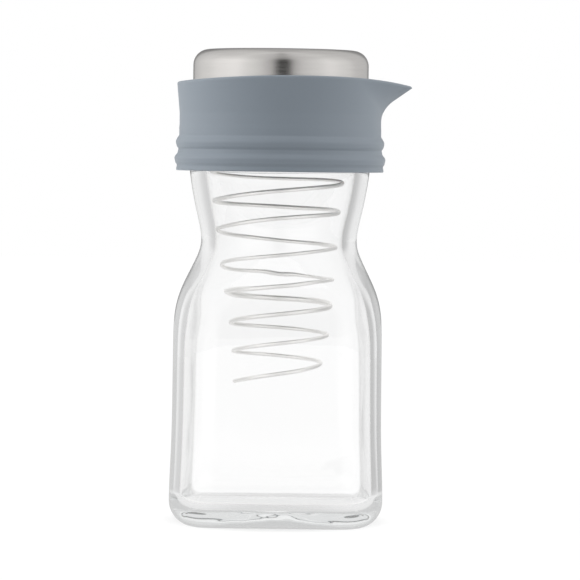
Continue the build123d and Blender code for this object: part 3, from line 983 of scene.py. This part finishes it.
# mixing coil: one wire, wound upwards to the right and widening to the neck
coil = {
    "wire": 1.52,               # mm thick
    "startTurn": -180.0,        # the free end is on the left
    "pointsPerQuarter": 18,
    # height of the wire at each quarter turn: left, front, right, back and so on
    "quarters": [51.74, 55.42, 58.9, 60.88, 63.45, 66.98, 70.2, 72.6, 74.75, 77.66, 80.3, 81.86, 83.8, 86.93,
                 89.2, 89.7, 94.0, 98.27, 101.9, 104.09, 107.3, 112.7, 115.0, 116.3, 118.0, 122.6, 125.5,
                 126.9, 128.9, 131.7, 134.5, 137.3, 140.1, 142.9, 145.7, 148.2],
    # at a height: the winding's radius, and how far its middle lies to the right and to the front
    "radii": [(52.7, 15.1), (63, 16.4), (73, 18.0), (85, 19.8), (96, 21.0), (104, 21.6), (112, 22.6),
              (125, 24.2), (148.3, 23.9)],
    "sideShift": [(53, -0.5), (60, 0.0), (71, 0.6), (82, 0.6), (92, -0.1), (104, -0.6), (116, -0.9),
                  (127, -1.0), (141, 0)],
    "frontShift": [(53, 1.6), (80, 1.0), (103, 0.25), (120, 0), (141, 0)],
}


def alongHeight(table, height):
    if height <= table[0][0]:
        return table[0][1]
    for (low, first), (high, second) in zip(table, table[1:]):
        if height <= high:
            share = (height - low) / (high - low)
            return first + (second - first) * share * share * (3 - 2 * share)
    return table[-1][1]


def wireHeight(place):
    # a smooth line through the heights at the quarter turns
    quarters = coil["quarters"]
    index = min(int(place), len(quarters) - 2)
    t = place - index
    before, low, high, after = (quarters[min(max(index + step, 0), len(quarters) - 1)] for step in (-1, 0, 1, 2))
    slope = (high - before) / 2
    bend = before - 2.5 * low + 2 * high - after / 2
    twist = 1.5 * (low - high) + (after - before) / 2
    return low + t * (slope + t * (bend + t * twist))


def makeCoil():
    count = (len(coil["quarters"]) - 1) * coil["pointsPerQuarter"]
    deselectAll()
    bpy.ops.curve.primitive_bezier_curve_add(location=(0, 0, 0))
    wire = bpy.context.object
    wire.data.splines.clear()
    line = wire.data.splines.new("POLY")
    line.points.add(count)
    for index in range(count + 1):
        place = index / coil["pointsPerQuarter"]
        height = wireHeight(place)
        turn = math.radians(coil["startTurn"] + 90 * place)
        radius = alongHeight(coil["radii"], height)
        x = radius * math.cos(turn) + alongHeight(coil["sideShift"], height)
        y = radius * math.sin(turn) - alongHeight(coil["frontShift"], height)
        line.points[index].co = (x * mm, y * mm, height * mm, 1)
    wire.data.dimensions = "3D"
    wire.data.bevel_depth = coil["wire"] / 2 * mm
    wire.data.bevel_resolution = 4
    wire.data.use_fill_caps = True
    bpy.ops.object.convert(target="MESH")
    return joinSkins([bpy.context.object], "woundCoil")


def give(node, material):
    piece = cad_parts[node]
    piece.data.materials.clear()
    piece.data.materials.append(material)


def finishPiece(piece, material, body, slotName, *nodes):
    piece.data.materials.clear()
    piece.data.materials.append(material)
    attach(piece, body)
    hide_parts(*nodes)


finishPiece(makeBottle(), clearGlass(), "bottle", "clear_glass", "glass_bottle")
print("bottle ready")
finishPiece(makeCollar(), softSilicone(), "collar", "soft_collar", "pour_collar")
print("collar ready")
finishPiece(makeCapShell(), brushedSteel(), "cap", "brushed_cap", "cap_shell")
print("cap ready")
wireCoil = makeCoil()
finishPiece(wireCoil, drawnWire(), "mouth_ring", "coil_wire", "mixing_coil")
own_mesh(wireCoil)
print("coil ready")
for node, values in plastic.items():
    give(node, milkyPlastic(node + "Plastic", values))
for node, values in rubber.items():
    give(node, paleRubber(node + "Rubber", values))
print("inner pieces ready")
